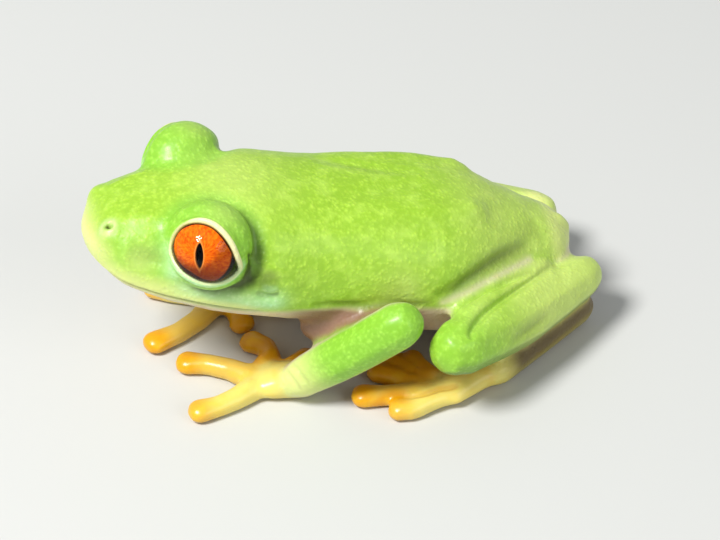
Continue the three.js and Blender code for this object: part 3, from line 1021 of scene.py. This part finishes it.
def iris_shader():
    """Iris of a red-eyed tree frog: satin fibres that run out from a slit, dark at its border, with
    painted shade towards its bottom and its rear lower corner.
    It lies behind the cornea in clear fluid, so it has hardly any gloss of its own."""
    material, tree = new_material("iris_fibres")
    fibre = node(tree, "Attribute", out="Vector", attribute_name="fibre")
    streaks = node(tree, "TexNoise", {"Vector": fibre, "Scale": 9, "Detail": 3})
    tone = node(tree, "MapRange", {"Value": streaks, "From Min": 0.35, "From Max": 0.65})
    layers = {"low": IRIS_SHADED_LOW, "ring": IRIS_EDGE, "border": IRIS_BORDER, "pupil": PUPIL_BLACK}
    inputs = {FACTOR: tone, UNDER: paint(IRIS_DEEP), OVER: paint(IRIS_BRIGHT)}
    colour = node(tree, "Mix", inputs, out=MIXED, data_type="RGBA")
    for name, code in layers.items():
        mask = node(tree, "Attribute", out="Fac", attribute_name=name)
        inputs = {FACTOR: mask, UNDER: colour, OVER: paint(code)}
        colour = node(tree, "Mix", inputs, out=MIXED, data_type="RGBA")
    shader = node(tree, "BsdfPrincipled", {"Base Color": colour, "Roughness": 0.45, "IOR": 1.08})
    node(tree, "OutputMaterial", {"Surface": shader})
    return material


def cornea_shader():
    """Clear wet cornea: only its reflections show."""
    material, tree = new_material("wet_cornea")
    amount = node(tree, "Fresnel", {"IOR": 1.3})
    clear = node(tree, "BsdfTransparent")
    gloss = node(tree, "BsdfGlossy", {"Roughness": 0.04})
    shader = node(tree, "MixShader", {0: amount, 1: clear, 2: gloss})
    node(tree, "OutputMaterial", {"Surface": shader})
    return material


def studio_floor():
    """Pale matt board."""
    material, tree = new_material("pale_board")
    shader = node(tree, "BsdfPrincipled", {"Base Color": paint("#CFCFCB"), "Roughness": 0.9})
    node(tree, "OutputMaterial", {"Surface": shader})
    return material


# ---------------------------------------------------------------- eyes

PUPIL_HALF = (0.86, 0.27)  # half its height and half its width, in mm
PUPIL_DEPTH = 0.3  # how far the pupil is sunk
IRIS = 2.22  # radius of the iris' ball, just inside the cornea
IRIS_FLATTER = 0.36  # how far its middle lies behind that ball


def eyeball(name, rings, radius):
    """A ball round the origin, to be shaped or moved by its points."""
    bpy.ops.object.select_all(action="DESELECT")
    bpy.ops.mesh.primitive_uv_sphere_add(segments=rings, ring_count=rings, radius=radius)
    ball = bpy.context.object
    ball.name = ball.data.name = name
    return ball


def make_eye(name, side):
    axis = PUPIL_GAZE[side]
    up = unit(np.array([0, 0, 1]) - axis[2] * axis)
    front = unit(side * np.cross((0, 0, 1), axis))
    ball_at = EYE_AT * (1, side, 1) + BALL_FORWARD * GAZE[side]

    iris = eyeball("iris_" + name, 128, 1.0)
    local = points_of(iris.data)
    lean = np.arccos(np.clip(local[:, 2], -1, 1))
    turn = np.arctan2(local[:, 1], local[:, 0])
    lean = np.pi * (lean / np.pi) ** 1.35  # the points crowd towards the pupil
    radius = IRIS - IRIS_FLATTER * np.exp(-((lean / 0.75) ** 2))
    across = radius * np.sin(lean) * np.cos(turn)
    high = radius * np.sin(lean) * np.sin(turn)
    slit_x = (across - 0.07 * high) / PUPIL_HALF[1]
    slit_y = high / PUPIL_HALF[0]
    inside = np.sqrt(slit_x**2 / np.maximum(1 - 0.55 * slit_y**2, 0.2) + slit_y**2)
    inside[lean > 1.2] = 9  # nothing so far round the ball is pupil
    radius = radius - PUPIL_DEPTH * step(1.0, 0.7, inside)
    placed = (
        (radius * np.cos(lean))[:, None] * axis
        + across[:, None] * front
        + high[:, None] * up
    )
    put_points(iris.data, placed + ball_at)
    # The dark border is the iris' own dark edge, widened into the rear lower corner with painted
    # shade.
    to_corner = step(0.5, 1, -np.cos(turn - 0.35))
    values = {
        "pupil": step(1.0, 0.88, inside),
        "ring": step(1.4, 1.1, inside) * 0.6,
        "border": step(1.1, 1.17, lean - 0.04 * np.cos(turn) + 0.1 * to_corner),
        # darker towards the bottom: painted shade
        "low": step(0.2, -1.6, high) * 0.85,
    }
    for key, value in values.items():
        mask = iris.data.attributes.new(key, "FLOAT", "POINT")
        mask.data.foreach_set("value", value.astype(np.float32))
    spokes = np.stack([np.cos(turn), np.sin(turn), 0.9 * lean], 1)
    fibre = iris.data.attributes.new("fibre", "FLOAT_VECTOR", "POINT")
    fibre.data.foreach_set("vector", spokes.astype(np.float32).ravel())

    cornea = eyeball("cornea_" + name, 64, BALL)
    put_points(cornea.data, points_of(cornea.data) + ball_at)
    return iris, cornea


def to_frame(piece):
    """Takes a finished piece from millimetres of the body to its place in the frame."""
    piece.data.transform(Matrix.Scale(MM, 4) @ Matrix.Translation(Vector(BODY_AT)))
    only(piece)
    bpy.ops.object.shade_smooth()
    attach(piece, "root")


iris_finish, cornea_finish = iris_shader(), cornea_shader()
for label, side in SIDES.items():
    iris, cornea = make_eye(label, side)
    for piece, finish, slot in ((iris, iris_finish, "iris"), (cornea, cornea_finish, "cornea")):
        on_whole(piece, bpy.ops.mesh.normals_make_consistent, inside=False)
        piece.data.materials.append(finish)
        to_frame(piece)
    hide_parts("eye_" + label)

skin.data.materials.append(frog_skin())
to_frame(skin)
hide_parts(*FLESH)

# ---------------------------------------------------------------- camera, floor and light

CAMERA_TURN, CAMERA_RISE = math.radians(-14), math.radians(40)
CAMERA_AWAY_MM = 200.0
TARGET = np.array([0.8, 0.0, 4.9]) + BODY_AT


def stage():
    aside, level = math.sin(CAMERA_TURN), math.cos(CAMERA_RISE)
    back = Vector((aside * level, -math.cos(CAMERA_TURN) * level, math.sin(CAMERA_RISE)))
    data = bpy.data.cameras.new("camera")
    data.lens = 155.0
    data.sensor_width = 36.0
    data.clip_start = 0.005
    camera = bpy.data.objects.new("camera", data)
    camera.location = (Vector(TARGET) + back * CAMERA_AWAY_MM) * MM
    camera.rotation_euler = back.to_track_quat("Z", "Y").to_euler()
    bpy.context.collection.objects.link(camera)
    bpy.context.scene.camera = camera

    bpy.ops.object.select_all(action="DESELECT")
    bpy.ops.mesh.primitive_plane_add(size=2.0, location=(0, 0, 0))
    floor = bpy.context.object
    floor.name = "floor"
    floor.data.materials.append(studio_floor())


def lamp(name, place, size, power, colour=(1, 1, 1)):
    data = bpy.data.lights.new(name, "AREA")
    data.shape = "DISK"
    data.size = size
    data.energy = power
    data.color = colour
    light = bpy.data.objects.new(name, data)
    light.location = place
    light.rotation_euler = Vector(place).to_track_quat("Z", "Y").to_euler()
    bpy.context.collection.objects.link(light)


stage()
lamp("key", (-0.20, -0.08, 0.32), 0.12, 1.7)
lamp("fill", (0.25, -0.35, 0.25), 0.3, 0.5)
world = bpy.data.worlds.new("studio")
world.use_nodes = True
world.node_tree.nodes["Background"].inputs["Color"].default_value = (0.9, 0.95, 1, 1)
world.node_tree.nodes["Background"].inputs["Strength"].default_value = 0.35
bpy.context.scene.world = world
bpy.context.scene.view_settings.view_transform = "Standard"
